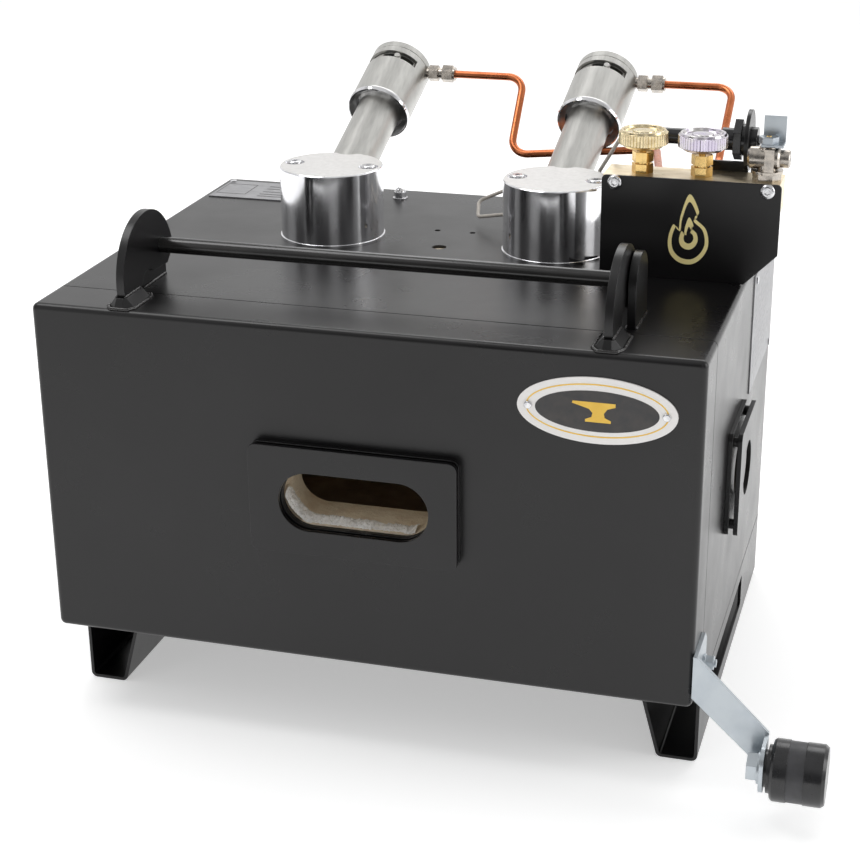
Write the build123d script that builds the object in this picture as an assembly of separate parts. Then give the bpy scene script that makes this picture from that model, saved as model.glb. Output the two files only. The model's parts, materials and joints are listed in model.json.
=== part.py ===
from build123d import *
from math import cos, sin, radians, pi
import os

# Two-burner gas forge in millimetres, +Z up, the door facing -Y. It is drawn about the middle of the
# box, and exported with its origin at the bottom centre of its overall bounding box, which the knob
# and the burner ends carry to the right of the box's middle and forward of it.

# Box
HALF_W, FRONT, BACK, TOP = 250.0, -193.0, 193.0, 336.0
SHEET, BEND = 2.0, 5.0
DOOR_BOTTOM, DOOR_BACK, BODY_FRONT = 71.0, -147.5, -146.5
SHELL_BOTTOM, LEG_TOP = 59.5, 58.2
LEG_FOOT_X, LEG_ROOT_X, LEG_SHEET = 219.0, 200.5, 2.5
LEG_SLOT = (-85.0, 89.0, 18.0, 46.0)

# Linings
CHAMBER_X, CHAMBER_BACK, FLOOR_Z, ROOF_Z = 200.0, 142.5, 96.0, 289.0
TILE_T, TILE_STEP, TILE_FRONT = 14.0, 3.0, -133.0
PAD_X, PAD_Z = 185.0, (125.0, 282.0)

# Ports
PORT_X, PORT_Z, PORT_W, PORT_H = -1.0, 205.0, 158.0, 84.0
SLOT_X, SLOT_W, SLOT_H = 0.0, 114.0, 46.0
PLATE_T, PLATE_GAP = 3.5, 3.6
SIDE_PORT_Y, SIDE_PORT_Z, SIDE_PORT_W, SIDE_HOLE_R = -17.0, 190.0, 84.0, 21.5

# Hinge
ROD_Y, ROD_Z, ROD_R, RUN = -117.0, 365.0, 6.0, 0.05
EAR_X, EAR_T, EAR_Y, EAR_Z, EAR_R = 177.3, 6.0, -140.0, 352.0, 45.0
HINGE_X, HINGE_T, HINGE_R = 184.5, 6.0, 22.0
FOOT_TOP = 343.5

# Door badge
BADGE_X, BADGE_Z, BADGE_T, BADGE_SCREW = 175.5, 294.3, 1.2, 48.5

# Burners
POT_X, POT_DX, POT_Y, POT_R, POT_H, POT_WALL = 93.5, -1.0, 39.0, 42.0, 59.0, 4.0
POT_SCREW, POT_RECESS_R = 31.5, 8.0
TILT, LEAN = 28.5, 4.5
BELL_X, BELL_DX, BELL_Y, BELL_Z = 92.0, 2.5, 148.0, 414.0
BELL_R, BELL_LIP, BELL_L, BELL_BORE = 26.5, 27.4, 66.0, 24.3
MIX_R, MIX_WALL = 18.4, 2.0
JET_S, WINDOW_S, WINDOW_W, WINDOW = 57.0, 45.0, 8.0, (-85, 53)
SET_SCREW, HEX_DX = 12.0, 35.0
PIPE_R, PIPE_Z, LEFT_PIPE_X, RIGHT_PIPE_X = 3.2, 402.0, 170.0, 207.5

# Valve train
PANEL_Y, PANEL_T, PANEL_L, PANEL_RX, PANEL_TOP = -12.8, 2.0, 139.0, 273.5, 413.7
BLOCK_L, BLOCK_RX, BLOCK_F, BLOCK_B, BLOCK_Z = 139.5, 272.0, -10.8, 22.4, 389.5
SCREW_X, SCREW_Z = (149.0, 263.4), 408.6
VALVE_Y, VALVE_X = 3.0, (167.0, 211.8)
WHEEL_R, WHEEL_Z, WHEEL_H, SPINDLE_R, RIBS = 18.6, 433.5, 13.0, 2.5, 46
BALL_X, BALL_Z, BALL_R, BARREL_R, LEVER_Z = 260.3, 430.0, 4.0, 8.2, 439.2
IGN_Y, IGN_Z, IGN_PLATE_X = 34.0, 435.5, 241.0

# Ignition: the spark electrode, and the lead's route from the igniter to it
SPARK = (60.0, 88.0)
LEAD_R, LEAD_BEND = 1.5, 5.0
LEAD = [(160, IGN_Y, IGN_Z), (146, IGN_Y + 2, IGN_Z), (118, 85, 392), (114, 104, 372), (92, 112, 362),
        (40, 118, 366), (9, 116, 352), (13, 98, 343), (45, 86, 351), (*SPARK, 353), (*SPARK, 338)]

# Handle
KNOB_Y, KNOB_Z, KNOB_R, KNOB_L = -211.0, 42.6, 22.5, 43.5
BAR_T, BAR_END_X = 3.0, 303.5
NUT_YZ, SCREW_YZ = (-158.0, 92.0), (-165.0, 99.0)

LEVEL = cos(radians(TILT))
U = Vector(sin(radians(LEAN)) * LEVEL, cos(radians(LEAN)) * LEVEL, sin(radians(TILT)))
PARTS = {}
ORIGIN = Pos(-44.7, 8.07, 0)


def box(x0, x1, y0, y1, z0, z1):
    return Pos((x0 + x1) / 2, (y0 + y1) / 2, (z0 + z1) / 2) * Box(x1 - x0, y1 - y0, z1 - z0)


def rod(start, direction, radius, length):
    plane = Plane(origin=start, z_dir=direction)
    return plane * Cylinder(radius, length, align=(Align.CENTER, Align.CENTER, Align.MIN))


def hexrod(start, direction, across_flats, length):
    plane = Plane(origin=start, z_dir=direction)
    return plane * extrude(RegularPolygon(across_flats / 2, 6, major_radius=False), length)


def slab(face, plane, thickness):
    """Extrudes a sketch drawn on `plane` along the plane's normal."""
    return extrude(plane * face, thickness)


def at_x(x, y=0.0, z=0.0):
    """Plane whose local X is +Y and local Y is +Z, so its normal is +X."""
    return Plane(origin=(x, y, z), x_dir=(0, 1, 0), z_dir=(1, 0, 0))


def at_y(y, x=0.0, z=0.0):
    """Plane whose local X is +X and local Y is +Z, so its normal is -Y."""
    return Plane(origin=(x, y, z), x_dir=(1, 0, 0), z_dir=(0, -1, 0))


def burner(side):
    """Frame of one burner: local Z runs up the mixing tube, local X is +X."""
    return Plane(origin=(side * BELL_X + BELL_DX, BELL_Y, BELL_Z), x_dir=(1, 0, 0), z_dir=U)


def jet_point(side):
    """Point on the burner's axis where its gas fitting enters."""
    return burner(side).origin + U * JET_S


def pot_x(side):
    return side * POT_X + POT_DX


def turned(plane, points):
    """Revolves a closed (radius, height) outline about the plane's normal."""
    outline = make_face(Polyline(*[(r, 0, h) for r, h in points], close=True))
    return plane * revolve(outline, Axis.Z)


def bent_pipe(points, bends, radius):
    path = FilletPolyline(*points, radius=bends)
    start = Plane(origin=path @ 0, z_dir=path % 0)
    return sweep(start * Circle(radius), path)


def mirrored(part):
    return part.mirror(Plane.YZ)


def keep(name, *solids):
    PARTS[name] = Compound(children=[s for item in solids for s in item.solids()])


# ---------------------------------------------------------------- box and legs

def body_shell():
    outer = box(-HALF_W, HALF_W, BODY_FRONT, BACK, SHELL_BOTTOM, TOP)
    outer = fillet(outer.edges().filter_by(Axis.Y).group_by(Axis.Z)[-1], BEND)
    inner = box(-HALF_W + SHEET, HALF_W - SHEET, BODY_FRONT - 1, BACK + 1, SHELL_BOTTOM - 1, TOP - SHEET)
    inner = fillet(inner.edges().filter_by(Axis.Y).group_by(Axis.Z)[-1], BEND - SHEET)
    shell = outer - inner
    for side in (-1, 1):
        shell -= rod((pot_x(side), POT_Y, TOP - 5), (0, 0, 1), 28, 10)
        shell -= rod((side * (HALF_W - 5), SIDE_PORT_Y, SIDE_PORT_Z), (side, 0, 0), 25, 10)
        shell -= rod((side * 15.0, 73.3, TOP - 5), (0, 0, 1), 2.5, 10)
    shell -= rod((0, 26.0, TOP - 5), (0, 0, 1), 5.8, 10)
    shell -= rod((*SPARK, TOP - 5), (0, 0, 1), 4.05, 10)
    shell -= rod((-75.7, 165, TOP - 5), (0, 0, 1), 3.05, 10)
    return shell


def leg():
    """Folded channel under the right side: upright outer wall, flat sole, sloping inner wall."""
    outer = [(HALF_W, 0), (LEG_FOOT_X, 0), (LEG_ROOT_X, 68.8), (HALF_W, 68.8)]
    inner = [(HALF_W - LEG_SHEET, LEG_SHEET), (LEG_FOOT_X + 2, LEG_SHEET), (LEG_ROOT_X + 3.2, 66.4),
             (HALF_W - LEG_SHEET, 66.4)]
    faces = []
    for points, radius in ((outer, 5.0), (inner, 2.5)):
        face = make_face(Polyline(*points, close=True))
        faces.append(fillet(face.vertices().group_by(Axis.Y)[0], radius))
    length = BACK - BODY_FRONT
    channel = slab(faces[0], at_y(BACK), length) - slab(faces[1], at_y(BACK + 1), length + 2)
    channel -= box(HALF_W - 2.3, HALF_W + 1, BODY_FRONT - 1, BACK + 1, LEG_TOP, 70)
    channel += box(HALF_W - 4.8, HALF_W - 2.3, BODY_FRONT, BACK, 50, 68.8)
    channel -= box(LEG_ROOT_X + 16, HALF_W - 4.8, BODY_FRONT - 1, BACK + 1, 60, 70)
    y0, y1, z0, z1 = LEG_SLOT
    opening = RectangleRounded(y1 - y0, z1 - z0, 3)
    return channel - slab(opening, at_x(HALF_W - 8, (y0 + y1) / 2, (z0 + z1) / 2), 10)


def ports_in_sides(part, radius):
    for side in (-1, 1):
        part -= rod((side * 190, SIDE_PORT_Y, SIDE_PORT_Z), (side, 0, 0), radius, 70)
    return part


def linings():
    y0, y1 = BODY_FRONT + 1.5, BACK - 2.5
    keep("floor_board", box(-247.5, 247.5, y0, y1, 71.2, FLOOR_Z))
    front_tile = box(-199.5, 199.5, TILE_FRONT, -0.5, FLOOR_Z, FLOOR_Z + TILE_T)
    rear_tile = box(-199.5, 199.5, 0.5, CHAMBER_BACK - 0.5, FLOOR_Z, FLOOR_Z + TILE_T + TILE_STEP)
    keep("hearth_tiles", front_tile, rear_tile)
    left = box(-247.5, -CHAMBER_X, y0, y1, FLOOR_Z + 0.2, TOP - 2.6)
    right = box(CHAMBER_X, 247.5, y0, y1, FLOOR_Z + 0.2, TOP - 2.6)
    left, right = [chamfer(p.edges().filter_by(Axis.Y).group_by(Axis.Z)[-1].sort_by(Axis.X)[i], 3)
                   for p, i in ((left, 0), (right, -1))]
    rear = box(-199.8, 199.8, CHAMBER_BACK, y1, FLOOR_Z + 0.2, ROOF_Z - 0.2)
    keep("wall_linings", ports_in_sides(left, 24), ports_in_sides(right, 24), rear)
    roof = box(-199.8, 199.8, y0, y1, ROOF_Z, TOP - 2.6)
    for side in (-1, 1):
        roof -= rod((pot_x(side), POT_Y, ROOF_Z - 1), (0, 0, 1), 25, 60)
    roof -= rod((*SPARK, ROOF_Z - 1), (0, 0, 1), 4.1, 60)
    roof -= rod((-75.7, 165, 322), (0, 0, 1), 6.5, 20)
    keep("roof_lining", roof)


def box_parts():
    keep("body_shell", body_shell())
    panel = box(-247.8, 247.8, BACK - 2, BACK, 73, 333)
    keep("back_panel", chamfer(panel.edges().filter_by(Axis.Y).group_by(Axis.Z)[-1], 3))
    keep("bottom_pan", box(-245.0, 245.0, BODY_FRONT + 0.5, BACK - 2.2, 69, 71))
    right_leg = leg()
    keep("right_leg", right_leg)
    keep("left_leg", mirrored(right_leg))
    linings()
    washer = rod((-75.7, 165, TOP), (0, 0, 1), 6.5, 1.2)
    nut = hexrod((-75.7, 165, TOP + 1.2), (0, 0, 1), 10, 5) + Pos(-75.7, 165, TOP + 5.6) * Sphere(4.7)
    stud = rod((-75.7, 165, TOP - 10), (0, 0, 1), 3.0, 12)
    keep("dome_nut", washer + nut + stud)


# ------------------------------------------------------------------- hinge

def door_ear():
    """Plate standing on the door top. The rod passes near its upper rear edge, and the lower rear
    lobe is cut high enough to swing clear of the box."""
    disc = Circle(EAR_R)
    disc &= Pos(0, 50 - (EAR_Z - FOOT_TOP)) * Rectangle(120, 100)
    cut = [(-157, 340), (-149.5, 350.4), (-146, 352.4), (-139, 352.7), (-132, 349), (-107, 348.3),
           (-98.5, 356), (-90, 356), (-90, 340)]
    cut = [(y - EAR_Y, z - EAR_Z) for y, z in cut]
    disc -= make_face(Polyline(*cut, close=True))
    ear = slab(disc, at_x(EAR_X, EAR_Y, EAR_Z), EAR_T)
    return ear - rod((EAR_X - 1, ROD_Y, ROD_Z), (1, 0, 0), ROD_R + RUN, EAR_T + 2)


def ear_foot():
    base = Plane((EAR_X + 3, -170, TOP)) * chamfer(Rectangle(21, 42).vertices(), 7)
    cap = Plane((EAR_X + 3, -171.5, FOOT_TOP)) * chamfer(Rectangle(9, 31).vertices(), 2)
    return loft([base, cap])


def hinge_plate():
    y0, y1 = ROD_Y - HINGE_R, ROD_Y + HINGE_R
    plate = rod((HINGE_X, ROD_Y, ROD_Z), (1, 0, 0), HINGE_R, HINGE_T)
    plate += box(HINGE_X, HINGE_X + HINGE_T, y0, y1, TOP, ROD_Z)
    return plate - rod((HINGE_X - 1, ROD_Y, ROD_Z), (1, 0, 0), ROD_R + 0.02, 5)


def hinge_parts():
    ear, foot, plate = door_ear(), ear_foot(), hinge_plate()
    keep("door_ears", ear, mirrored(ear))
    keep("ear_feet", foot, mirrored(foot))
    keep("hinge_plates", plate, mirrored(plate))
    keep("hinge_rod", rod((-HINGE_X - 3.9, ROD_Y, ROD_Z), (1, 0, 0), ROD_R, 2 * (HINGE_X + 3.9)))


# --------------------------------------------------------------------- door

def rounded_front(part, radius):
    """Rounds the four front edges of a pan and its corner edges."""
    part = fillet(part.edges().filter_by(Axis.Y), radius)
    front = part.faces().sort_by(Axis.Y)[0]
    return fillet(front.edges(), radius - 0.5)


def door_shell():
    outer = rounded_front(box(-HALF_W, HALF_W, FRONT, DOOR_BACK, DOOR_BOTTOM, TOP), BEND)
    inner_x = HALF_W - SHEET
    inner = box(-inner_x, inner_x, FRONT + SHEET, DOOR_BACK + 1, DOOR_BOTTOM + SHEET, TOP - SHEET)
    shell = outer - rounded_front(inner, BEND - SHEET)
    shell -= slab(SlotOverall(SLOT_W, SLOT_H), at_y(FRONT + 5, SLOT_X, PORT_Z), 10)
    for (y, z), r in ((NUT_YZ, 3.05), (SCREW_YZ, 1.55)):
        shell -= rod((HALF_W - 4, y, z), (1, 0, 0), r, 8)
    for x in (-BADGE_SCREW, BADGE_SCREW):
        shell -= rod((BADGE_X + x, FRONT - 1, BADGE_Z), (0, 1, 0), 1.55, 5)
    return shell


def port_plates(width, height, hole, plane):
    """Inner and outer plate and four spacers, stacked along the plane's normal."""
    blank = RectangleRounded(width, height, 6) - hole
    inner = slab(blank, plane, PLATE_T)
    outer = slab(blank, plane.offset(PLATE_T + PLATE_GAP), PLATE_T)
    spots = [(x, y) for x in (8 - width / 2, width / 2 - 8) for y in (8 - height / 2, height / 2 - 8)]
    spacers = [slab(Pos(x, y) * Circle(4), plane.offset(PLATE_T), PLATE_GAP) for x, y in spots]
    return inner, outer, spacers


def door_parts():
    keep("door_shell", door_shell())
    lining = box(-PAD_X, PAD_X, FRONT + SHEET, DOOR_BACK - 1.5, *PAD_Z)
    lining -= slab(SlotOverall(SLOT_W + 4, SLOT_H - 2), at_y(DOOR_BACK + 5, SLOT_X, PORT_Z), 60)
    keep("door_lining", lining)
    hole = Pos(SLOT_X - PORT_X, 0) * SlotOverall(SLOT_W, SLOT_H)
    inner, outer, spacers = port_plates(PORT_W, PORT_H, hole, at_y(FRONT, PORT_X, PORT_Z))
    keep("front_port_inner_plate", inner)
    keep("front_port_outer_plate", outer)
    keep("front_port_spacers", *spacers)
    plane = at_y(FRONT, BADGE_X, BADGE_Z)
    badge = slab(Ellipse(56.3, 24.3), plane, BADGE_T)
    screws = []
    for x in (-BADGE_SCREW, BADGE_SCREW):
        badge -= slab(Pos(x, 0) * Circle(1.6), plane, BADGE_T)
        screw = rod((BADGE_X + x, FRONT + 3, BADGE_Z), (0, -1, 0), 1.5, 5)
        head = rod((BADGE_X + x, FRONT - BADGE_T, BADGE_Z), (0, -1, 0), 2.9, 1.6)
        screws.append(screw + fillet(head.edges().sort_by(Axis.Y)[0], 1.0))
    keep("badge", badge)
    keep("badge_screws", *screws)


def side_ports():
    plane = at_x(HALF_W, SIDE_PORT_Y, SIDE_PORT_Z)
    inner, outer, spacers = port_plates(SIDE_PORT_W, PORT_H, Circle(SIDE_HOLE_R), plane)
    keep("side_port_inner_plates", inner, mirrored(inner))
    keep("side_port_outer_plates", outer, mirrored(outer))
    keep("side_port_spacers", *spacers, *[mirrored(s) for s in spacers])


def handle_bar():
    """Flat bar folded twice about upright lines: along the door side, out to the right and down, then
    forward to carry the knob."""
    side = box(HALF_W, HALF_W + BAR_T, FRONT - 3, DOOR_BACK - 1.5, 82, 115)
    side = chamfer(side.edges().filter_by(Axis.X).group_by(Axis.Y)[-1], 7)
    web = [(HALF_W, 82), (HALF_W, 115), (HALF_W + 3, 115), (BAR_END_X + 3, 62), (BAR_END_X + 3, 29)]
    out = slab(make_face(Polyline(*web, close=True)), at_y(FRONT - 0.01), BAR_T)
    end = box(BAR_END_X, BAR_END_X + 3, FRONT - 33, FRONT - 0.01, 26, 61)
    end = fillet(end.edges().filter_by(Axis.X).group_by(Axis.Y)[0], 12)
    bar = side + out + end
    bar -= rod((HALF_W - 1, *NUT_YZ), (1, 0, 0), 3.05, 6)
    bar -= rod((HALF_W - 1, *SCREW_YZ), (1, 0, 0), 1.55, 6)
    return bar - rod((BAR_END_X - 1, KNOB_Y, KNOB_Z), (1, 0, 0), 6.1, 6)


def handle_parts():
    keep("handle_bar", handle_bar())
    x = HALF_W + BAR_T
    main = rod((x, *NUT_YZ), (1, 0, 0), 6.2, 1.2) + hexrod((x + 1.2, *NUT_YZ), (1, 0, 0), 10, 6)
    main += rod((x - 7, *NUT_YZ), (1, 0, 0), 3.0, 16) + hexrod((HALF_W - 6, *NUT_YZ), (1, 0, 0), 10, 4)
    small = rod((x - 6, *SCREW_YZ), (1, 0, 0), 1.5, 7) + rod((x, *SCREW_YZ), (1, 0, 0), 2.4, 1.6)
    grip = rod((BAR_END_X - 2, KNOB_Y, KNOB_Z), (1, 0, 0), 12, 2)
    grip += hexrod((BAR_END_X - 9.5, KNOB_Y, KNOB_Z), (1, 0, 0), 19, 7.5)
    grip += rod((BAR_END_X - 3, KNOB_Y, KNOB_Z), (1, 0, 0), 6.0, 30)
    keep("handle_bolts", main, small, grip)
    r, band = KNOB_R, 0.6
    outline = [(6.05, 0), (13.5, 0), (13.5, 2.2), (17.5, 2.2), (17.5, 4.6), (r - 1.5, 5.2), (r, 7),
               (r, 16.5), (r - band, 16.5), (r - band, 28.5), (r, 28.5), (r, KNOB_L - 2.5), (r - 2, KNOB_L),
               (0, KNOB_L), (0, 24.5), (6.05, 24.5)]
    start = Plane(origin=(BAR_END_X + 3, KNOB_Y, KNOB_Z), z_dir=(1, 0, 0))
    keep("handle_knob", turned(start, outline))


# ------------------------------------------------------------------- burners

def pot(side):
    x, up = pot_x(side), (0, 0, 1)
    body = rod((x, POT_Y, TOP), up, POT_R, POT_H)
    body = chamfer(body.edges().sort_by(Axis.Z)[-1], 0.8) + rod((x, POT_Y, TOP), up, POT_R + 0.8, 2.5)
    body -= rod((x, POT_Y, TOP - 1), up, POT_R - POT_WALL, POT_H - 4)
    body += [rod((x + dx, POT_Y, TOP), up, 6, POT_H - 2) for dx in (-POT_SCREW, POT_SCREW)]
    for dx in (-POT_SCREW, POT_SCREW):
        body -= rod((x + dx, POT_Y, TOP + 10), up, 2.55, POT_H)
        body -= rod((x + dx, POT_Y, TOP + POT_H - 1.5), up, POT_RECESS_R, 3)
    return body - burner(side) * Pos(0, 0, -50) * Cylinder(MIX_R + 0.1, 80)


def pot_screw(side, dx):
    spot = (pot_x(side) + dx, POT_Y, TOP + POT_H - 1.5)
    head = rod(spot, (0, 0, 1), 6.2, 3.0)
    head = fillet(head.edges().sort_by(Axis.Z)[-1], 1.9)
    head -= hexrod((spot[0], spot[1], spot[2] + 1.2), (0, 0, 1), 4, 3)
    return head + rod((spot[0], spot[1], spot[2] - 30), (0, 0, 1), 2.5, 31)


def mixing_tube(side):
    tube = Cylinder(MIX_R, 102) - Cylinder(MIX_R - MIX_WALL, 104)
    tube = burner(side) * Pos(0, 0, -39) * tube
    return tube - rod((pot_x(side), POT_Y, TOP - 20), (0, 0, 1), POT_R - POT_WALL - 5, POT_H + 40)


def sector(radius, start, stop, height):
    """Pie slice about local Z. Zero degrees points up the slope's normal, and positive is towards +X."""
    steps = [start + (stop - start) * i / 12 for i in range(13)]
    rim = [(radius * sin(radians(a)), -radius * cos(radians(a))) for a in steps]
    return extrude(make_face(Polyline((0, 0), *rim, close=True)), height)


def air_bell(side):
    outline = [(MIX_R + 0.05, 5), (21, 4.4), (24, 1.8), (25.6, 0.2), (26.6, 0.5), (BELL_LIP, 2.2),
               (BELL_LIP, 3.6), (BELL_R, 5.5), (BELL_R, 58.6), (BELL_R - 0.5, 58.8),
               (BELL_R - 0.5, 59.4), (BELL_R, 59.6), (BELL_R, BELL_L - 1), (BELL_R - 1, BELL_L),
               (0, BELL_L), (0, BELL_L - 4), (BELL_BORE, BELL_L - 4), (BELL_BORE, 9), (MIX_R + 0.05, 9)]
    bell = turned(burner(side), outline)
    bell -= burner(side) * Pos(0, 0, WINDOW_S) * sector(40, *WINDOW, WINDOW_W)
    return bell - rod(jet_point(side), (1, 0, 0), 4.6, 40)


def air_shutter(side):
    """Sleeve inside the bell with two windows of its own, turned by the set screw in the bell's slot."""
    length = JET_S - 4.9 - (WINDOW_S - 3)
    sleeve = Cylinder(BELL_BORE - 0.3, length) - Cylinder(BELL_BORE - 2.3, length + 2)
    sleeve = Pos(0, 0, JET_S - 4.9 - length / 2) * sleeve
    for start, stop in ((SET_SCREW + 7, SET_SCREW + 38), (SET_SCREW - 32, SET_SCREW - 7)):
        sleeve -= Pos(0, 0, WINDOW_S + 0.3) * sector(40, start, stop, WINDOW_W - 1.5)
    level, inner = WINDOW_S + WINDOW_W / 2 - 0.4, BELL_BORE - 1.8
    tilt = radians(SET_SCREW)
    axis = (sin(tilt), -cos(tilt), 0)
    stem = rod((inner * axis[0], inner * axis[1], level), axis, 2.4, BELL_R - 0.2 - inner)
    return burner(side) * (sleeve + stem)


def injector(side):
    """Jet on the burner's axis, and the arm and hexagon that join it to the pipe's nut."""
    start, along, hex_x = jet_point(side), (1, 0, 0), side * BELL_X + HEX_DX
    x, y, z = start
    arm = rod(start, along, 4.5, hex_x + 1 - x) + hexrod((hex_x, y, z), along, 12, 8)
    arm += rod((hex_x + 8, y, z), along, 4.6, 7)
    arm -= rod((x - 1, y, z), along, 1.8, hex_x - x) + rod((hex_x - 7, y, z), along, 3.25, 30)
    jet = burner(side) * Pos(0, 0, JET_S - 14) * Cylinder(5.2, 38)
    jet -= burner(side) * Pos(0, 0, JET_S - 22) * Cylinder(1, 30)
    return arm + (jet - rod((x - 10, y, z), along, 1.8, 30))


def pipe_nut(side):
    hex_x = side * BELL_X + HEX_DX
    _, y, z = jet_point(side)
    nut = hexrod((hex_x + 12, y, z), (1, 0, 0), 13, 9) + rod((hex_x + 21, y, z), (1, 0, 0), 5.8, 2)
    nut -= rod((hex_x + 11, y, z), (1, 0, 0), 4.65, 4.1)
    return nut - rod((hex_x + 11, y, z), (1, 0, 0), PIPE_R + 0.04, 20)


def gas_pipes():
    _, y, z = jet_point(1)
    end = BLOCK_B - 8
    left = [(HEX_DX + 9 - BELL_X, y, z), (27.5, y, z), (27.5, 149, 385), (152, 154.5, 395.5),
            (LEFT_PIPE_X, 60, PIPE_Z), (LEFT_PIPE_X, end, PIPE_Z)]
    right = [(HEX_DX + 9 + BELL_X, y, z), (RIGHT_PIPE_X, y, z), (RIGHT_PIPE_X, 125, 394),
             (RIGHT_PIPE_X, 60, PIPE_Z), (RIGHT_PIPE_X, end, PIPE_Z)]
    keep("left_gas_pipe", bent_pipe(left, 14, PIPE_R))
    keep("right_gas_pipe", bent_pipe(right, 14, PIPE_R))


def burner_parts():
    for side, name in ((-1, "left"), (1, "right")):
        keep(name + "_burner_pot", pot(side))
        keep(name + "_air_shutter", air_shutter(side))
    keep("pot_screws", *[pot_screw(s, dx) for s in (-1, 1) for dx in (-POT_SCREW, POT_SCREW)])
    keep("mixing_tubes", mixing_tube(-1), mixing_tube(1))
    keep("air_bells", air_bell(-1), air_bell(1))
    keep("injectors", injector(-1), injector(1))
    keep("pipe_nuts", pipe_nut(-1), pipe_nut(1))
    gas_pipes()
    keep("ignition_lead", bent_pipe(LEAD, LEAD_BEND, LEAD_R))
    ceramic = rod((*SPARK, ROOF_Z - 4), (0, 0, 1), 4.0, TOP + 6 - ROOF_Z + 4)
    ceramic += rod((*SPARK, ROOF_Z - 18), (0, 0, 1), 1.2, 20)
    keep("spark_electrode", ceramic - rod((*SPARK, 337.9), (0, 0, 1), LEAD_R + 0.04, 10))


# --------------------------------------------------------------- valve train

def valve_panel():
    corners = [(PANEL_L, TOP), (PANEL_L, PANEL_TOP), (PANEL_RX, PANEL_TOP), (PANEL_RX - 0.3, 360),
               (249.2, TOP)]
    face = make_face(Polyline(*corners, close=True))
    face = fillet(face.vertices().group_by(Axis.Y)[-1], 3.5)
    face -= [Pos(x, SCREW_Z) * Circle(3.2) for x in SCREW_X]
    plate = slab(face, at_y(PANEL_Y + PANEL_T), PANEL_T)
    foot = box(124, 245, PANEL_Y + PANEL_T - 0.5, 25, TOP, TOP + 2) - box(123, 137, 7, 26, TOP - 1, TOP + 3)
    return plate + foot


def manifold_block():
    block = box(BLOCK_L, BLOCK_RX, BLOCK_F, BLOCK_B, BLOCK_Z, PANEL_TOP)
    block = chamfer(block.edges().filter_by(Axis.X), 0.5)
    gallery = rod((BLOCK_L + 12, VALVE_Y, 398), (1, 0, 0), 4, BLOCK_RX - BLOCK_L - 22)
    for x in VALVE_X:
        gallery += rod((x, VALVE_Y, 396), (0, 0, 1), 5.05, 30)
    gallery += rod((BALL_X, VALVE_Y, 396), (0, 0, 1), 5.05, 30)
    for x in (LEFT_PIPE_X, RIGHT_PIPE_X):
        gallery += rod((x, BLOCK_B - 14, PIPE_Z), (0, 1, 0), PIPE_R + 0.04, 20)
    for x in SCREW_X:
        gallery += rod((x, BLOCK_F - 1, SCREW_Z), (0, 1, 0), 3.05, 5.8)
    return block - gallery


def button_screw(x):
    head = rod((x, PANEL_Y, SCREW_Z), (0, -1, 0), 5.75, 3.2)
    head = fillet(head.edges().sort_by(Axis.Y)[0], 2.6)
    head -= hexrod((x, PANEL_Y - 4, SCREW_Z), (0, 1, 0), 4, 2.4)
    return head + rod((x, PANEL_Y, SCREW_Z), (0, 1, 0), 3.0, 6.2)


def valve_body(x):
    body = rod((x, VALVE_Y, 403), (0, 0, 1), 5.0, 12)
    body += hexrod((x, VALVE_Y, PANEL_TOP), (0, 0, 1), 14.2, 7.2)
    body += rod((x, VALVE_Y, 420), (0, 0, 1), 5.8, 3) + hexrod((x, VALVE_Y, 422.3), (0, 0, 1), 14.2, 7.6)
    return body - rod((x, VALVE_Y, 402), (0, 0, 1), SPINDLE_R + RUN, 40)


def spindle(x):
    stem = rod((x, VALVE_Y, 399), (0, 0, 1), SPINDLE_R, WHEEL_Z + 8.5 - 399)
    tip = Pos(x, VALVE_Y, 397.7) * Cone(0.9, SPINDLE_R, 2.8)
    return stem + tip


def handwheel(x):
    """Ribbed wheel with bevelled rims, a dished top and a round cap over the spindle."""
    rim = [((WHEEL_R - 0.9 * (i % 2)) * cos(pi * i / RIBS), (WHEEL_R - 0.9 * (i % 2)) * sin(pi * i / RIBS))
           for i in range(2 * RIBS)]
    r, h = WHEEL_R, WHEEL_H
    ribs = Pos(0, 0, 2.4) * extrude(make_face(Polyline(*rim, close=True)), h - 4.2)
    core = turned(Plane.XY, [(0, 0), (r - 4, 0), (r - 1, 2.6), (r - 1, h - 1.6), (r - 1.8, h), (r - 3.4, h),
                             (r - 4.6, h - 2.2), (8.6, h - 2.2), (8, h - 0.8), (0, h - 0.2)])
    wheel = Pos(x, VALVE_Y, WHEEL_Z) * (ribs + core)
    return wheel - rod((x, VALVE_Y, WHEEL_Z - 1), (0, 0, 1), SPINDLE_R + RUN, 9.8)


def ball_valve():
    """Nickelled body: hex, collar, level barrel, gland, and a fixed stop post."""
    up, along = (0, 0, 1), (1, 0, 0)
    body = hexrod((BALL_X, VALVE_Y, PANEL_TOP), up, 18.5, 6.5) + rod((BALL_X, VALVE_Y, 405), up, 5.0, 10)
    body += rod((BALL_X, VALVE_Y, 419.2), up, 12, 2.2) + rod((BALL_X, VALVE_Y, 421), up, 7.2, 8)
    r, start = BARREL_R, Plane(origin=(BALL_X - 14.5, VALVE_Y, BALL_Z), z_dir=along)
    body += turned(start, [(0, 0), (r - 1.8, 0), (r, 1.8), (r, 22.3), (r - 1.8, 24.1), (0, 24.1)])
    body += rod((BALL_X, VALVE_Y, 431), up, 6.2, LEVER_Z - 0.4 - 431)
    body += box(259, 266, VALVE_Y - 11, VALVE_Y - 7, 421, LEVER_Z - 0.7)
    body -= Pos(BALL_X, VALVE_Y, BALL_Z) * Sphere(BALL_R + 0.3)
    body -= rod((BALL_X, VALVE_Y, 400), up, 2, 28) + rod((BALL_X, VALVE_Y, BALL_Z), up, 2 + RUN, 20)
    return body - rod((BALL_X, VALVE_Y, BALL_Z), along, 2, 12) - rod(
        (BALL_X + 4.7, VALVE_Y, BALL_Z), along, 4.05, 8)


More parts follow.
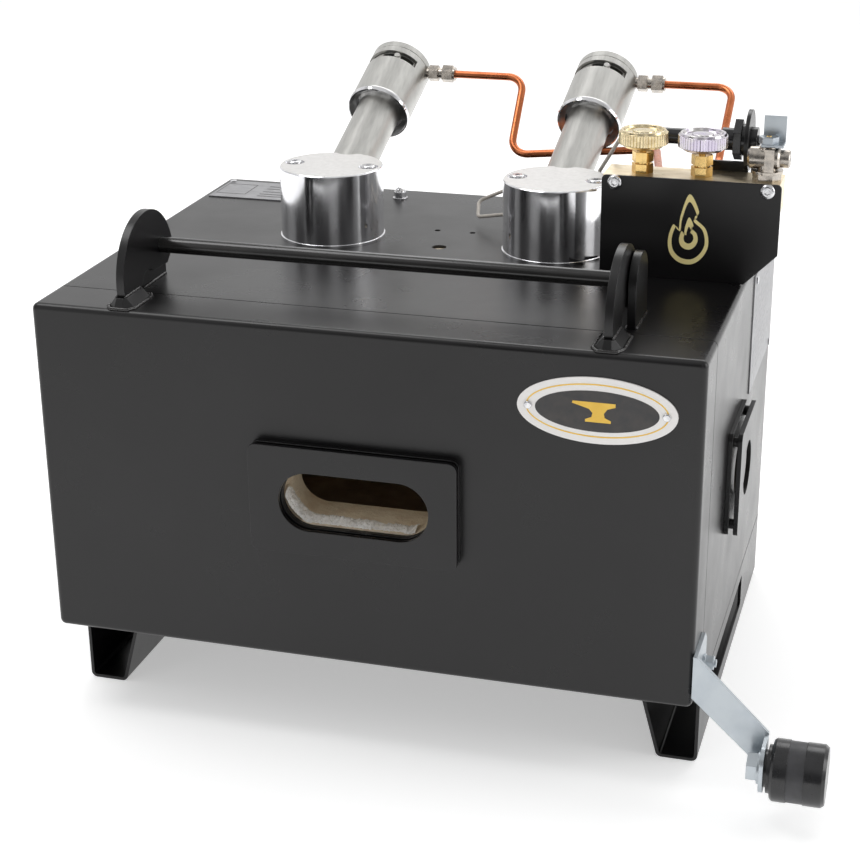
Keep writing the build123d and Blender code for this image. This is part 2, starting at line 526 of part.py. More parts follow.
def ball_valve_moving():
    centre, up = (BALL_X, VALVE_Y, BALL_Z), (0, 0, 1)
    ball = Pos(*centre) * Sphere(BALL_R) - rod(centre, (1, 0, 0), 1.8, 9) - rod(centre, (0, 0, -1), 1.8, 9)
    keep("ball_valve_ball", ball - rod((BALL_X, VALVE_Y, BALL_Z + 2.2), up, 2.05, 9))
    stem = rod((BALL_X, VALVE_Y, BALL_Z + 2.3), up, 2.0, LEVER_Z + 7.5 - BALL_Z - 2.3)
    nut = hexrod((BALL_X, VALVE_Y, LEVER_Z + 2), up, 13, 5) - rod((BALL_X, VALVE_Y, LEVER_Z), up, 2.02, 9)
    keep("ball_valve_stem", stem, nut)
    lever = box(255.5, 272, -4, 12, LEVER_Z, LEVER_Z + 2) + box(255.5, 272, 10, 12, LEVER_Z, 460)
    keep("ball_valve_lever", lever - rod((BALL_X, VALVE_Y, 430), up, 2.02, 14))


def gas_inlet():
    stub = rod((BALL_X + 4.8, VALVE_Y, BALL_Z), (1, 0, 0), 4.0, 6)
    stub += rod((BALL_X + 9.7, VALVE_Y, BALL_Z), (1, 0, 0), 6.6, 7.0)
    stub = chamfer(stub.edges().sort_by(Axis.X)[-1], 0.8)
    return stub - rod((BALL_X, VALVE_Y, BALL_Z), (1, 0, 0), 2, 30)


def igniter_parts():
    plate = rod((IGN_PLATE_X, IGN_Y, IGN_Z), (1, 0, 0), 23, 3)
    plate += box(IGN_PLATE_X, IGN_PLATE_X + 3, BLOCK_B, 48, 415, IGN_Z)
    plate += box(216, IGN_PLATE_X + 3, BLOCK_B, BLOCK_B + 3, 395, 421)
    keep("igniter_bracket", plate - rod((IGN_PLATE_X - 1, IGN_Y, IGN_Z), (1, 0, 0), 8.6, 6))
    body = rod((158, IGN_Y, IGN_Z), (1, 0, 0), 6.0, 65) + rod((222, IGN_Y, IGN_Z), (1, 0, 0), 8.5, 23)
    body += rod((IGN_PLATE_X + 3, IGN_Y, IGN_Z), (1, 0, 0), 10, 5)
    body -= rod((228, IGN_Y, IGN_Z), (1, 0, 0), 4.05, 30) + rod((157, IGN_Y, IGN_Z), (1, 0, 0), 2.0, 4)
    keep("igniter_body", body)
    nut = hexrod((231.5, IGN_Y, IGN_Z), (1, 0, 0), 27, 6) + rod((237.5, IGN_Y, IGN_Z), (1, 0, 0), 12, 3.5)
    keep("igniter_nut", nut - rod((225, IGN_Y, IGN_Z), (1, 0, 0), 8.52, 20))
    button = rod((233, IGN_Y, IGN_Z), (1, 0, 0), 4.0, 18)
    keep("igniter_button", fillet(button.edges().sort_by(Axis.X)[-1], 1.0))


def valve_train():
    keep("valve_panel", valve_panel())
    keep("manifold_block", manifold_block())
    keep("panel_screws", *[button_screw(x) for x in SCREW_X])
    keep("valve_bodies", *[valve_body(x) for x in VALVE_X])
    for x, name in zip(VALVE_X, ("left", "right")):
        keep(name + "_valve_spindle", spindle(x))
        keep(name + "_handwheel", handwheel(x))
    keep("ball_valve_body", ball_valve())
    ball_valve_moving()
    keep("gas_inlet", gas_inlet())
    igniter_parts()


def label_plates():
    """Warning plate on the roof's left rear and rating plate on the right side, each held by two
    rivets on a diagonal."""
    warning = box(-242, -150, 128.7, 183.5, TOP, TOP + 1)
    rating = box(HALF_W, HALF_W + 1, 54, 191, 224, 322)
    rivets = []
    for x, y in ((-239, 180.5), (-153.5, 132)):
        warning -= rod((x, y, TOP - 1), (0, 0, 1), 1.6, 3)
        rivets.append(rod((x, y, TOP), (0, 0, 1), 1.55, 2) + rod((x, y, TOP + 1), (0, 0, 1), 3, 1.2))
    for y, z in ((64.7, 316.6), (179.3, 227.5)):
        rating -= rod((HALF_W - 1, y, z), (1, 0, 0), 1.6, 3)
        rivets.append(rod((HALF_W, y, z), (1, 0, 0), 1.55, 2) + rod((HALF_W + 1, y, z), (1, 0, 0), 3, 1.2))
    keep("warning_plate", warning)
    keep("rating_plate", rating)
    keep("plate_rivets", *rivets)


box_parts()
hinge_parts()
door_parts()
side_ports()
handle_parts()
burner_parts()
valve_train()
label_plates()

os.makedirs("parts", exist_ok=True)
for node, shape in PARTS.items():
    export_step(ORIGIN * shape, f"parts/{node}.step")
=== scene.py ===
import bpy, bmesh, json, math, random
from mathutils import Vector, Matrix, noise


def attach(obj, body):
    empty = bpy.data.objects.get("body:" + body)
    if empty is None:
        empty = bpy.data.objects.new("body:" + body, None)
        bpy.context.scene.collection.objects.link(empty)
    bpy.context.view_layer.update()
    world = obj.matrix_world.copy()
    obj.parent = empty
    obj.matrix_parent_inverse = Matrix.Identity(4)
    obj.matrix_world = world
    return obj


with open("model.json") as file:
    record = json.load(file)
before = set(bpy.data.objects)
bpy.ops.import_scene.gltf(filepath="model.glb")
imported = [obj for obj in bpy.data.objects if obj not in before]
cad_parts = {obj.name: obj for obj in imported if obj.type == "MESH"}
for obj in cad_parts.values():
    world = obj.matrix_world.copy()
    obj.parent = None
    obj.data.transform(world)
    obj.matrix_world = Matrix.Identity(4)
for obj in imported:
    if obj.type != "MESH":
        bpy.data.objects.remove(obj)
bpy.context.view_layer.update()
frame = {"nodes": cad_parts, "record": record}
N = frame["nodes"]
random.seed(7)


def P(x, y, z):
    """Millimetres from the middle of the box to metres in the row frame."""
    return Vector(((x - 44.7) / 1000, (y + 8.07) / 1000, z / 1000))


# ------------------------------------------------------------------ materials
class Mat:
    """Small helper round one procedural material."""

    def __init__(self, name, color, rough, metallic=0.0, spec=0.5, coat=0.0, coat_rough=0.1, aniso=0.0):
        self.m = bpy.data.materials.new(name)
        self.m.use_nodes = True
        self.t = self.m.node_tree
        self.b = self.t.nodes["Principled BSDF"]
        self.color, self.rough = color, rough
        i = self.b.inputs
        i["Base Color"].default_value = (*color, 1)
        i["Roughness"].default_value = rough
        i["Metallic"].default_value = metallic
        i["Specular IOR Level"].default_value = spec
        i["Coat Weight"].default_value = coat
        i["Coat Roughness"].default_value = coat_rough
        i["Anisotropic"].default_value = aniso
        self.normal = None

    def new(self, kind, **sockets):
        n = self.t.nodes.new("ShaderNode" + kind)
        for k, v in sockets.items():
            n.inputs[k.replace("_", " ")].default_value = v
        return n

    def link(self, a, b):
        self.t.links.new(a, b)

    def coord(self, scale=(1, 1, 1)):
        c, m = self.new("TexCoord"), self.new("Mapping", Scale=scale)
        self.link(c.outputs["Object"], m.inputs["Vector"])
        return m.outputs["Vector"]

    def noise(self, scale, detail=4.0, stretch=(1, 1, 1), roughness=0.55):
        n = self.new("TexNoise", Scale=scale, Detail=detail, Roughness=roughness)
        self.link(self.coord(stretch), n.inputs["Vector"])
        return n.outputs["Fac"]

    def ramp(self, fac, lo, hi, a, b):
        r = self.new("MapRange", From_Min=lo, From_Max=hi, To_Min=a, To_Max=b)
        self.link(fac, r.inputs["Value"])
        return r.outputs["Result"]

    def vary_rough(self, scale, amount, stretch=(1, 1, 1), detail=4.0):
        f = self.noise(scale, detail, stretch)
        self.link(self.ramp(f, 0.3, 0.7, self.rough - amount, self.rough + amount),
                  self.b.inputs["Roughness"])
        return self

    def vary_color(self, scale, other, stretch=(1, 1, 1), lo=0.35, hi=0.7, detail=5.0):
        f = self.ramp(self.noise(scale, detail, stretch), lo, hi, 0.0, 1.0)
        mix = self.new("Mix")
        mix.data_type = "RGBA"
        mix.inputs[6].default_value, mix.inputs[7].default_value = (*self.color, 1), (*other, 1)
        self.link(f, mix.inputs[0])
        self.last = mix.outputs[2]
        self.link(self.last, self.b.inputs["Base Color"])
        return self

    def bump(self, scale, strength, distance, stretch=(1, 1, 1), detail=3.0):
        b = self.new("Bump", Strength=strength, Distance=distance)
        self.link(self.noise(scale, detail, stretch), b.inputs["Height"])
        if self.normal is not None:
            self.link(self.normal, b.inputs["Normal"])
        self.normal = b.outputs["Normal"]
        self.link(self.normal, self.b.inputs["Normal"])
        return self

    def round_edges(self, radius=0.0006):
        n = self.new("Bevel", Radius=radius)
        n.samples = 6
        self.normal = n.outputs["Normal"]
        self.link(self.normal, self.b.inputs["Normal"])
        return self

    def edge_wear(self, color, radius=0.0012, amount=0.6):
        """Lighter rubbed colour where the surface turns sharply."""
        bev, geo = self.new("Bevel", Radius=radius), self.new("NewGeometry")
        bev.samples = 6
        dot = self.new("VectorMath")
        dot.operation = "DOT_PRODUCT"
        self.link(bev.outputs["Normal"], dot.inputs[0])
        self.link(geo.outputs["Normal"], dot.inputs[1])
        edge = self.ramp(dot.outputs["Value"], 0.98, 0.86, 0.0, amount)
        mul = self.new("Math")
        mul.operation = "MULTIPLY"
        self.link(edge, mul.inputs[0])
        self.link(self.ramp(self.noise(240, 5.0), 0.42, 0.62, 0.15, 1.0), mul.inputs[1])
        mix = self.new("Mix")
        mix.data_type = "RGBA"
        mix.inputs[6].default_value, mix.inputs[7].default_value = (*self.color, 1), (*color, 1)
        if getattr(self, "last", None):
            self.link(self.last, mix.inputs[6])
        self.link(mul.outputs[0], mix.inputs[0])
        self.last = mix.outputs[2]
        self.link(self.last, self.b.inputs["Base Color"])
        return self


def powder(name, rough=0.3, spec=0.45):
    m = Mat(name, (0.0042, 0.0038, 0.0042), rough, spec=spec).round_edges(0.0008)
    m.vary_color(9, (0.0065, 0.006, 0.0066), lo=0.4, hi=0.75).edge_wear((0.035, 0.035, 0.036), 0.0011, 0.5)
    m.vary_rough(14, 0.045)
    return m.bump(900, 0.11, 0.0003).bump(2600, 0.07, 0.00012)


M = {
    "black_powder_coat": powder("powder_coat"),
    "black_rod": Mat("rod_black", (0.008, 0.008, 0.008), 0.2, spec=0.6).vary_rough(40, 0.06, (0.3, 3, 3))
        .vary_color(60, (0.02, 0.019, 0.018), (0.4, 3, 3)).bump(700, 0.05, 0.0001),
    "fibre": Mat("ceramic_fibre", (0.86, 0.76, 0.6), 0.95, spec=0.15).vary_color(60, (0.66, 0.5, 0.34),
                                                                                 lo=0.45, hi=0.8)
        .bump(300, 0.7, 0.0012, (1, 1, 4)).bump(1400, 0.5, 0.0005),
    # hearth tile: brown brick colour with darker horizontal bands along its height; the bands are painted shade lines
    # from inside the chamber
    "tile": Mat("hearth_tile_painted_shade_bands", (0.5, 0.37, 0.25), 0.9, spec=0.2).vary_color(45, (0.3, 0.2, 0.13), (1, 1, 6),
                                                                            0.35, 0.75)
        .bump(180, 0.5, 0.0008, (1, 1, 5)).bump(1200, 0.4, 0.0003),
    "label": Mat("label_plate", (0.34, 0.34, 0.35), 0.42, 0.75).vary_rough(90, 0.08,
                                                                           (1, 6, 1)).round_edges(0.0003)
        .vary_color(120, (0.28, 0.28, 0.29)).bump(600, 0.06, 0.0001, (1, 12, 1)),
    "badge": Mat("badge_face", (0.87, 0.85, 0.83), 0.24, coat=0.6, coat_rough=0.08).vary_rough(30,
                                                                                               0.04).round_edges(0.0004)
        .vary_color(20, (0.82, 0.8, 0.78)).bump(300, 0.03, 0.0001),
    "fastener": Mat("zinc_screw", (0.72, 0.72, 0.73), 0.2, 1.0).vary_rough(200, 0.08).round_edges(0.0003)
        .vary_color(300, (0.5, 0.5, 0.52), lo=0.4, hi=0.7).bump(900, 0.06, 0.0001),
    "polished_aluminium": Mat("turned_aluminium", (0.88, 0.88, 0.9), 0.13, 1.0).vary_rough(55, 0.05, (1, 1,
                                                                                                      0.12))
        .vary_color(260, (0.78, 0.78, 0.8), (1, 1, 0.2), 0.45, 0.8).round_edges(0.0005).bump(1300, 0.03,
                                                                                             0.0001,
                                                                                             (0.15, 0.15,
                                                                                              3)),
    "satin_aluminium": Mat("satin_aluminium", (0.56, 0.555, 0.53), 0.36, 1.0).vary_rough(120, 0.06, (3, 0.4,
                                                                                                     0.4))
        .vary_color(160, (0.47, 0.465, 0.445), (3, 0.4, 0.4), 0.4, 0.75).round_edges(0.0004).bump(700, 0.05,
                                                                                                  0.0001,
                                                                                                  (4, 0.4,
                                                                                                   0.4)),
    "nickel_brass": Mat("nickel_fitting", (0.55, 0.5, 0.44), 0.24, 1.0).vary_rough(220,
                                                                                   0.08).round_edges(0.0004)
        .vary_color(200, (0.32, 0.3, 0.28), lo=0.4, hi=0.75).bump(900, 0.08, 0.0001),
    "copper": Mat("copper_pipe", (0.62, 0.2, 0.085), 0.3, 1.0).vary_rough(110, 0.07)
        .vary_color(70, (0.46, 0.13, 0.05), lo=0.42, hi=0.78).bump(500, 0.07, 0.0001, (3, 3, 3)),
    "yellow_brass": Mat("yellow_brass", (0.86, 0.6, 0.24), 0.17, 1.0).vary_rough(240,
                                                                                 0.06).round_edges(0.0004)
        .vary_color(180, (0.66, 0.42, 0.15), lo=0.45, hi=0.8).bump(1000, 0.05, 0.0001),
    "manifold_brass": Mat("milled_brass", (0.92, 0.8, 0.6), 0.34, 1.0).vary_rough(160, 0.07,
                                                                                  (0.3, 1,
                                                                                   6)).round_edges(0.0005)
        .vary_color(150, (0.72, 0.58, 0.36), (0.4, 1, 5), 0.42, 0.8).bump(1200, 0.07, 0.0001, (0.2, 1, 5)),
    "handwheel": Mat("cast_wheel", (0.83, 0.71, 0.46), 0.2, 1.0).vary_rough(220, 0.07).round_edges(0.0006)
        .vary_color(260, (0.62, 0.5, 0.3), lo=0.42, hi=0.7).bump(900, 0.1, 0.0002),
    "zinc": Mat("zinc_plate", (0.5, 0.54, 0.57), 0.36, 0.9).vary_rough(70, 0.07).round_edges(0.0006)
        .vary_color(45, (0.42, 0.46, 0.5), lo=0.4, hi=0.75).bump(800, 0.05, 0.0001),
    "black_plastic": Mat("black_plastic", (0.012, 0.012, 0.013), 0.22, spec=0.55).vary_rough(90,
                                                                                             0.06).round_edges(0.0007)
        .vary_color(80, (0.02, 0.02, 0.022)).bump(900, 0.05, 0.0001),
    "bracket_steel": powder("bracket_coat", 0.28, 0.5),
    "lead": Mat("silicone_lead", (0.56, 0.52, 0.47), 0.45).vary_rough(200, 0.08)
        .vary_color(150, (0.42, 0.39, 0.35)).bump(900, 0.12, 0.0001),
    "porcelain": Mat("porcelain", (0.85, 0.83, 0.79), 0.15, coat=0.5).vary_rough(100, 0.05)
        .vary_color(80, (0.74, 0.71, 0.66)).bump(500, 0.05, 0.0001),
}
CHROME = Mat("chrome_wheel", (0.72, 0.7, 0.68), 0.13, 1.0).vary_rough(220, 0.05).round_edges(0.0006) \
    .vary_color(90, (0.62, 0.57, 0.68), lo=0.38, hi=0.6).bump(900, 0.08, 0.0002)
SATIN_TOP = Mat("faced_aluminium", (0.62, 0.61, 0.6), 0.5, 1.0).vary_rough(300, 0.05) \
    .vary_color(240, (0.56, 0.55, 0.54)).bump(2200, 0.06, 0.0001)
LIP = Mat("polished_lip", (0.86, 0.86, 0.87), 0.08, 1.0).vary_rough(150, 0.03).vary_color(90, (0.8, 0.8,
                                                                                               0.82)) \
    .bump(400, 0.03, 0.0001)
BAND = Mat("knob_band", (0.035, 0.035, 0.038), 0.42).vary_rough(160, 0.06).vary_color(120, (0.05, 0.05,
                                                                                            0.055)) \
    .bump(1600, 0.12, 0.0001)
INK = Mat("dark_ink", (0.03, 0.03, 0.032), 0.35).vary_rough(90, 0.06).vary_color(120, (0.05, 0.045,
                                                                                       0.042)) \
    .bump(600, 0.04, 0.0001)
YELLOW = Mat("yellow_ink", (0.9, 0.58, 0.08), 0.32).vary_rough(90, 0.05).vary_color(90, (0.82, 0.5, 0.06)) \
    .bump(600, 0.04, 0.0001)
PALE = Mat("pale_ink", (0.97, 0.85, 0.4), 0.35).vary_rough(90, 0.05).vary_color(90, (0.93, 0.78, 0.34)) \
    .bump(600, 0.04, 0.0001)
WELD = Mat("painted_weld", (0.011, 0.01, 0.01), 0.24, spec=0.6).vary_rough(300, 0.08) \
    .vary_color(200, (0.022, 0.02, 0.02)).bump(900, 0.4, 0.0003)
FLUFF = Mat("torn_fibre", (0.93, 0.92, 0.9), 0.95, spec=0.1).vary_rough(200, 0.04) \
    .vary_color(300, (0.8, 0.77, 0.72), lo=0.45, hi=0.8).bump(900, 0.9, 0.0008)

slot_of = {s["node"]: s["material_slot"] for s in frame["record"]["subparts"]}
for name, obj in N.items():
    mat = M[slot_of[name]].m
    if name == "right_handwheel":
        mat = CHROME.m
    if not obj.material_slots:
        obj.data.materials.append(mat)
    for s in obj.material_slots:
        s.material = mat


def zone(node, mat, test):
    """A second material on the faces of a CAD node whose centre passes the test (millimetres)."""
    o = N[node]
    o.data.materials.append(mat.m)
    k = len(o.data.materials) - 1
    for p in o.data.polygons:
        c = p.center
        if test((c.x * 1000 + 44.7, c.y * 1000 - 8.07, c.z * 1000), p.normal):
            p.material_index = k


lean, tilt = math.radians(4.5), math.radians(28.5)
UX, UY, UZ = math.sin(lean) * math.cos(tilt), math.cos(lean) * math.cos(tilt), math.sin(tilt)
for n in ("left_burner_pot", "right_burner_pot"):
    zone(n, SATIN_TOP, lambda c, nn: c[2] > 393.9 and nn.z > 0.8)
zone("air_bells", LIP, lambda c,
     nn: (c[0] + (89.5 if c[0] < 2.5 else -94.5)) * UX + (c[1] - 148) * UY + (c[2] - 414) * UZ < 5.6)
zone("ball_valve_stem", M["zinc"], lambda c, nn: abs(c[0] - 260.3) > 2.2 or abs(c[1] - 3.0) > 2.2)
zone("handle_knob", BAND, lambda c, nn: 322.9 < c[0] < 335.1)


# --------------------------------------------------------------- small pieces
def mesh_piece(name, verts, faces, mat, body, smooth=False):
    me = bpy.data.meshes.new(name)
    me.from_pydata([tuple(v) for v in verts], [], faces)
    bm = bmesh.new()
    bm.from_mesh(me)
    bmesh.ops.recalc_face_normals(bm, faces=bm.faces)
    bm.to_mesh(me)
    bm.free()
    for p in me.polygons:
        p.use_smooth = smooth
    me.materials.append(mat.m)
    o = bpy.data.objects.new(name, me)
    bpy.context.scene.collection.objects.link(o)
    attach(o, body)
    return o


def bead(name, path, radius, body, closed=False, ripple=1.6):
    """A weld bead: a rippled tube along a path given in millimetres."""
    pts, sides = [P(*p) for p in path], 10
    n = len(pts)
    fine = []
    for i in range(n if closed else n - 1):
        a, b = pts[i], pts[(i + 1) % n]
        k = max(2, int((b - a).length * 1000 / 0.7))
        fine += [a.lerp(b, j / k) for j in range(k)]
    if not closed:
        fine.append(pts[-1])
    verts, faces, m, run = [], [], len(fine), 0.0
    for i, c in enumerate(fine):
        t = (fine[(i + 1) % m] - fine[i - 1]) if closed or 0 < i < m - 1 else (fine[min(i + 1,
                                                                                        m - 1)] - fine[max(i - 1, 0)])
        t.normalize()
        u = t.cross(Vector((0.3, 0.5, 1))).normalized()
        w = t.cross(u)
        run += 0.7
        end = 1.0 if closed else min(1.0, 0.45 + min(i, m - 1 - i) * 0.18)
        r = radius * end * (1 + 0.17 * math.sin(run / ripple * 2 * math.pi) + 0.12 * noise.noise(c * 300)) / 1000
        for s in range(sides):
            a = 2 * math.pi * s / sides
            verts.append(c + (u * math.cos(a) + w * math.sin(a)) * r)
    for i in range(m if closed else m - 1):
        for s in range(sides):
            a, b = i * sides, ((i + 1) % m) * sides
            faces.append((a + s, a + (s + 1) % sides, b + (s + 1) % sides, b + s))
    if not closed:
        faces += [tuple(range(sides)), tuple(range((m - 1) * sides, m * sides))]
    return mesh_piece(name, verts, faces, WELD, body, True)


def plate(name, outline, to3, thick, mat, body, hole=None):
    """A thin printed shape. outline and hole are 2-D in millimetres, to3 maps (u, v, height) to the row frame."""
    bm = bmesh.new()
    if hole:
        k = len(outline)
        rings = [[bm.verts.new(to3(u, v, h)) for u, v in ring] for ring in (outline, hole) for h in (0.0,
                                                                                                     thick)]
        o0, o1, h0, h1 = rings
        for i in range(k):
            j = (i + 1) % k
            for quad in ((o1[i], o1[j], h1[j], h1[i]), (o0[i], o0[j], o1[j], o1[i]), (h0[i], h0[j], h1[j],
                                                                                      h1[i]),
                         (o0[i], o0[j], h0[j], h0[i])):
                bm.faces.new(quad)
    else:
        lo = [bm.verts.new(to3(u, v, 0.0)) for u, v in outline]
        hi = [bm.verts.new(to3(u, v, thick)) for u, v in outline]
        bm.faces.new(hi)
        bm.faces.new(lo[::-1])
        for i in range(len(lo)):
            j = (i + 1) % len(lo)
            bm.faces.new((lo[i], lo[j], hi[j], hi[i]))
    bmesh.ops.recalc_face_normals(bm, faces=bm.faces)
    me = bpy.data.meshes.new(name)
    bm.to_mesh(me)
    bm.free()
    me.materials.append(mat.m)
    o = bpy.data.objects.new(name, me)
    bpy.context.scene.collection.objects.link(o)
    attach(o, body)
    return o


def oval(a, b, cx=0.0, cy=0.0, n=72):
    return [(cx + a * math.cos(2 * math.pi * i / n),
             cy + b * math.sin(2 * math.pi * i / n)) for i in range(n)]


# badge print: yellow ring, dark oval and a plain anvil
def on_badge(u, v, h):
    return P(175.5 + u, -194.2 - h, 294.3 + v)


plate("badge_ring", oval(50.3, 19.6), on_badge, 0.12, YELLOW, "door", oval(49.3, 18.6))
plate("badge_oval", oval(43.5, 15.0, 0, -0.5), on_badge, 0.14, INK, "door")
ANVIL = [(-17, 6.2), (13, 6.2), (13, 3.6), (7.5, 1.8), (5.0, -1.6), (5.6, -4.6), (10, -6.6), (10, -8.4),
         (-8, -8.4), (-8, -6.6),
         (-3.6, -4.6), (-3.0, -1.6), (-5.5, 1.2), (-10.5, 2.6), (-17.5, 4.6)]
plate("badge_anvil", ANVIL, lambda u, v, h: on_badge(u, v, h + 0.14), 0.12, YELLOW, "door")


# panel emblem: a plain flame drawn as an outline
def flame(grow):
    pts = [(0, 27), (7.5, 14), (4.5, 9), (13, 1), (15.5, -11), (11.5, -21), (3.5, -27), (-6.5, -26),
           (-13.5, -19), (-15, -8),
           (-11.5, 3), (-7.5, -1), (-6.0, 11)]
    c = Vector((0.5, -6))
    out, k = [], len(pts)
    for i in range(k):
        p0, p1, p2, p3 = [Vector(pts[(i + j) % k]) for j in (-1, 0, 1, 2)]
        for s in range(6):
            t = s / 6
            q = 0.5 * (2 * p1 + (p2 - p0) * t + (2 * p0 - 5 * p1 + 4 * p2 - p3) * t * t + (3 * p1 - p0 - 3 * p2 + p3) * t ** 3)
            q = c + (q - c) * grow
            out.append((q.x, q.y))
    return out


def on_panel(u, v, h):
    return P(206 + u, -12.8 - h, 376 + v)


plate("panel_flame", flame(1.0), on_panel, 0.14, PALE, "forge_body", flame(0.82))
plate("panel_flame_core", flame(0.46), on_panel, 0.14, PALE, "forge_body", flame(0.24))

# plain printed marks on the two plates, no lettering
def on_warning(u, v, h):
    return P(u, v, 337.0 + h)


plate("warning_frame", [(-240, 140), (-212, 140), (-212, 173), (-240, 173)], on_warning, 0.1, INK,
      "forge_body",
      [(-239.2, 140.8), (-212.8, 140.8), (-212.8, 172.2), (-239.2, 172.2)])
for i, (u0, u1, v) in enumerate([(-200, -158, 170), (-200, -166, 162), (-200, -158, 152), (-200, -172, 144),
                                 (-200, -162, 137)]):
    plate(f"warning_rule_{i}", [(u0, v), (u1, v), (u1, v + 1.6), (u0, v + 1.6)], on_warning, 0.1, INK,
          "forge_body")


def on_rating(u, v, h):
    return P(251.0 + h, u, v)


GREY_INK = Mat("grey_ink", (0.3, 0.3, 0.31), 0.5).vary_rough(90, 0.06).vary_color(120,
                                                                                  (0.38, 0.38,
                                                                                   0.39)).bump(600, 0.04,
                                                                                   0.0001)
for i in range(13):
    v, u1 = 306 - i * 5.8, 180 - (i * 37 % 5) * 11
    plate(f"rating_rule_{i:02d}", [(68, v), (u1, v), (u1, v + 2.0), (68, v + 2.0)], on_rating, 0.08,
          GREY_INK, "forge_body")

# welds
for s, side in ((-1, "left"), (1, "right")):
    x = 180.3
    foot = [(s * (x + dx), y, 336.4) for dx, y in ((-7, -190.4), (7, -190.4), (10.8, -184), (10.8, -156),
                                                   (7, -149.6), (-7, -149.6),
                                                  (-10.8, -156), (-10.8, -184))]
    bead(f"weld_foot_{side}", foot, 1.3, "door", closed=True)
    for dx in (-3.4, 3.4):
        bead(f"weld_ear_{side}_{'in' if dx < 0 else 'out'}", [(s * (x + dx), -186, 343.9),
                                                              (s * (x + dx), -158, 343.9)], 1.2, "door")
    for dx, tag in ((-0.4, "in"), (6.4, "out")):
        bead(f"weld_hinge_{side}_{tag}", [(s * (184.5 + dx), -138, 336.4), (s * (184.5 + dx), -96, 336.4)],
             1.3, "forge_body")
    for y0, y1, tag in ((-146, -79, "a"), (-20, 68, "b")):
        bead(f"weld_leg_{side}_{tag}", [(s * 249.2, y0, 58.9), (s * 249.2, y1, 58.9)], 0.75, "forge_body")


# torn white fibre round the door slot's lower edge
def torn_fibre():
    verts, faces, cols = [], [], 5
    path = [(-57 + i * 0.9) for i in range(112)]
    for i, x in enumerate(path):
        low = -22 + (max(0, abs(x) - 35) ** 2) / 24.0
        for j in range(cols):
            f = j / (cols - 1)
            q = Vector((x * 0.13, f * 3, 4.1))
            rise = (3.2 + 3.0 * noise.noise(q) + 1.6 * noise.noise(q * 4.7)) * math.sin(f * math.pi) * (1.25 if x < 10 else 0.7)
            verts.append(P(x + noise.noise(q * 3) * 0.8, -190.5 + f * 16,
                           205 + min(low, 18) - 0.6 + max(rise, -0.4)))
    for i in range(len(path) - 1):
        for j in range(cols - 1):
            a = i * cols + j
            faces.append((a, a + 1, a + cols + 1, a + cols))
    o = mesh_piece("torn_fibre_edge", verts, faces, FLUFF, "door", True)
    sub = o.modifiers.new("sub", "SUBSURF")
    sub.levels = sub.render_levels = 2
    tex = bpy.data.textures.new("fluff", "CLOUDS")
    tex.noise_scale = 0.0022
    d = o.modifiers.new("ragged", "DISPLACE")
    d.texture, d.strength, d.texture_coords = tex, 0.0022, "LOCAL"


torn_fibre()


# --------------------------------------------------------------------- studio
def emitter(name, loc, target, size, power, color=(1, 1, 1), size_y=None):
    d = bpy.data.lights.new(name, "AREA")
    d.shape, d.size, d.size_y = "RECTANGLE", size, size_y or size
    d.energy, d.color = power, color
    o = bpy.data.objects.new(name, d)
    bpy.context.scene.collection.objects.link(o)
    o.location = Vector(loc)
    o.rotation_euler = (Vector(target) - Vector(loc)).to_track_quat("-Z", "Y").to_euler()
    return o


emitter("key", (-1.0, -0.2, 2.2), (0, 0, 0.3), 1.0, 13, size_y=1.0)
emitter("fill_right", (2.1, 0.1, 1.0), (0, 0, 0.25), 1.0, 12, size_y=1.4)
emitter("top_back", (0.1, 1.6, 1.9), (0, 0, 0.3), 2.2, 16, size_y=1.0)

world = bpy.data.worlds.new("studio")
bpy.context.scene.world = world
world.use_nodes = True
wt = world.node_tree
bg = wt.nodes["Background"]


def sky(kind, a, b=None, c=None):
    """One world Math node."""
    n = wt.nodes.new("ShaderNodeMath")
    n.operation = kind
    for i, v in enumerate((a, b, c)):
        if v is None:
            continue
        if isinstance(v, (int, float)):
            n.inputs[i].default_value = v
        else:
            wt.links.new(v, n.inputs[i])
    return n.outputs[0]


def level(value, points):
    """Brightness along value as a smooth curve through (position, brightness) points, 0 to 1."""
    r = wt.nodes.new("ShaderNodeValToRGB")
    r.color_ramp.interpolation = "EASE"
    for i, (pos, v) in enumerate(points):
        e = r.color_ramp.elements[i] if i < 2 else r.color_ramp.elements.new(pos)
        e.position, e.color = pos, (v, v, v, 1)
    wt.links.new(value, r.inputs[0])
    return r.outputs[0]


tc = wt.nodes.new("ShaderNodeTexCoord")
sep = wt.nodes.new("ShaderNodeSeparateXYZ")
wt.links.new(tc.outputs["Generated"], sep.inputs[0])
X, Y, Z = sep.outputs
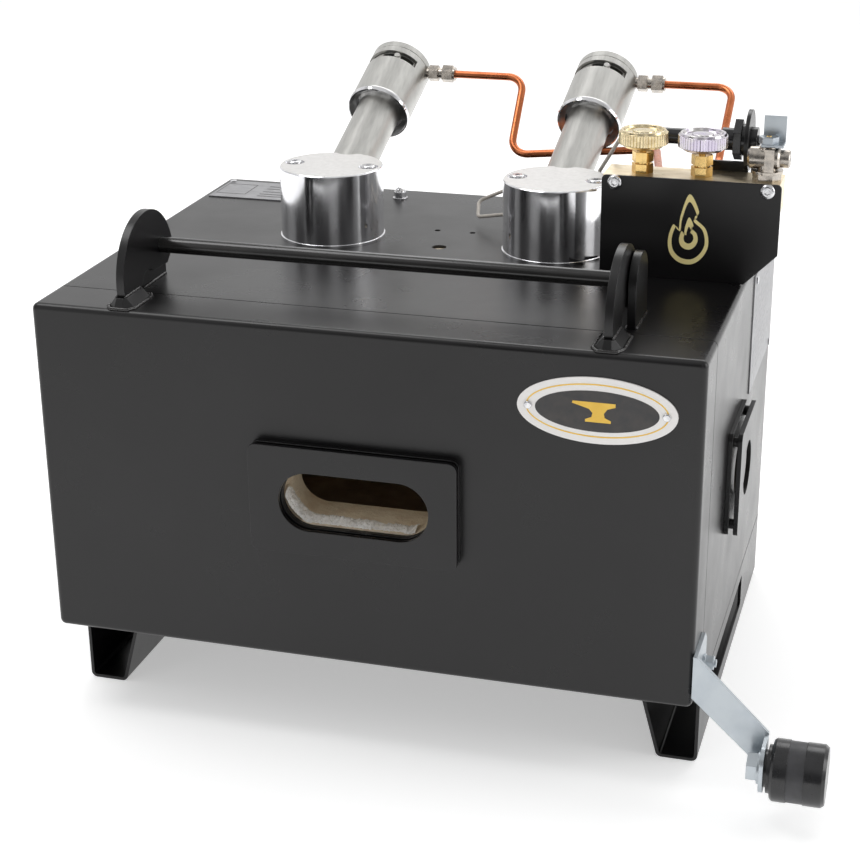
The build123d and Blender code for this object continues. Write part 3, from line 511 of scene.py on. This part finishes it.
# angle round the object: 0 at the front, 0.25 left, 0.5 back, 0.75 right
turn = sky("ARCTAN2", X, Y)
turn = sky("MULTIPLY_ADD", turn, 1 / (2 * math.pi), 0.5)
ring = level(turn, [(0.0, 0.13), (0.055, 0.12), (0.075, 0.95), (0.115, 0.95), (0.135, 0.14), (0.19, 0.1),
                    (0.215, 0.8),
                    (0.27, 0.85), (0.29, 0.55), (0.36, 0.88), (0.5, 0.92), (0.64, 0.88), (0.74, 0.8),
                    (0.8, 0.62),
                    (0.86, 0.18), (0.9, 0.1), (0.925, 0.9), (0.955, 0.9), (0.975, 0.12), (1.0, 0.13)])
high = wt.nodes.new("ShaderNodeMapRange")
high.inputs["From Min"].default_value, high.inputs["From Max"].default_value = 0.45, 0.8
wt.links.new(Z, high.inputs["Value"])
mix = wt.nodes.new("ShaderNodeMix")
mix.data_type = "RGBA"
wt.links.new(high.outputs[0], mix.inputs[0])
wt.links.new(ring, mix.inputs[6])
mix.inputs[7].default_value = (0.62, 0.62, 0.62, 1)
wt.links.new(mix.outputs[2], bg.inputs["Color"])
bg.inputs["Strength"].default_value = 1.0

floor_mat = Mat("studio_floor", (0.9, 0.9, 0.9), 0.95, spec=0.0)
fb = floor_mat.b
fb.inputs["Emission Color"].default_value = (1, 1, 1, 1)
fb.inputs["Emission Strength"].default_value = 0.42
bpy.ops.mesh.primitive_plane_add(size=14, location=(0, 2, 0))
floor = bpy.context.object
floor.name = "studio_floor"
floor.data.materials.append(floor_mat.m)

cam_data = bpy.data.cameras.new("camera")
cam = bpy.data.objects.new("camera", cam_data)
bpy.context.scene.collection.objects.link(cam)
a, e, r = math.radians(-16.09), math.radians(21.87), math.radians(-0.36)
fwd = Vector((math.sin(a) * math.cos(e), math.cos(a) * math.cos(e), -math.sin(e)))
right = Vector((math.cos(a), -math.sin(a), 0))
up = right.cross(fwd)
right, up = right * math.cos(r) + up * math.sin(r), up * math.cos(r) - right * math.sin(r)
m = Matrix((right, up, -fwd)).transposed().to_4x4()
m.translation = P(408.5, -1380.9, 759.9)
cam.matrix_world = m
cam_data.sensor_width, cam_data.lens = 36, 78.94
cam_data.shift_x, cam_data.shift_y = -0.0158, 0.0074
cam_data.clip_start, cam_data.clip_end = 0.05, 60
bpy.context.scene.camera = cam
bpy.context.scene.view_settings.view_transform = "Standard"
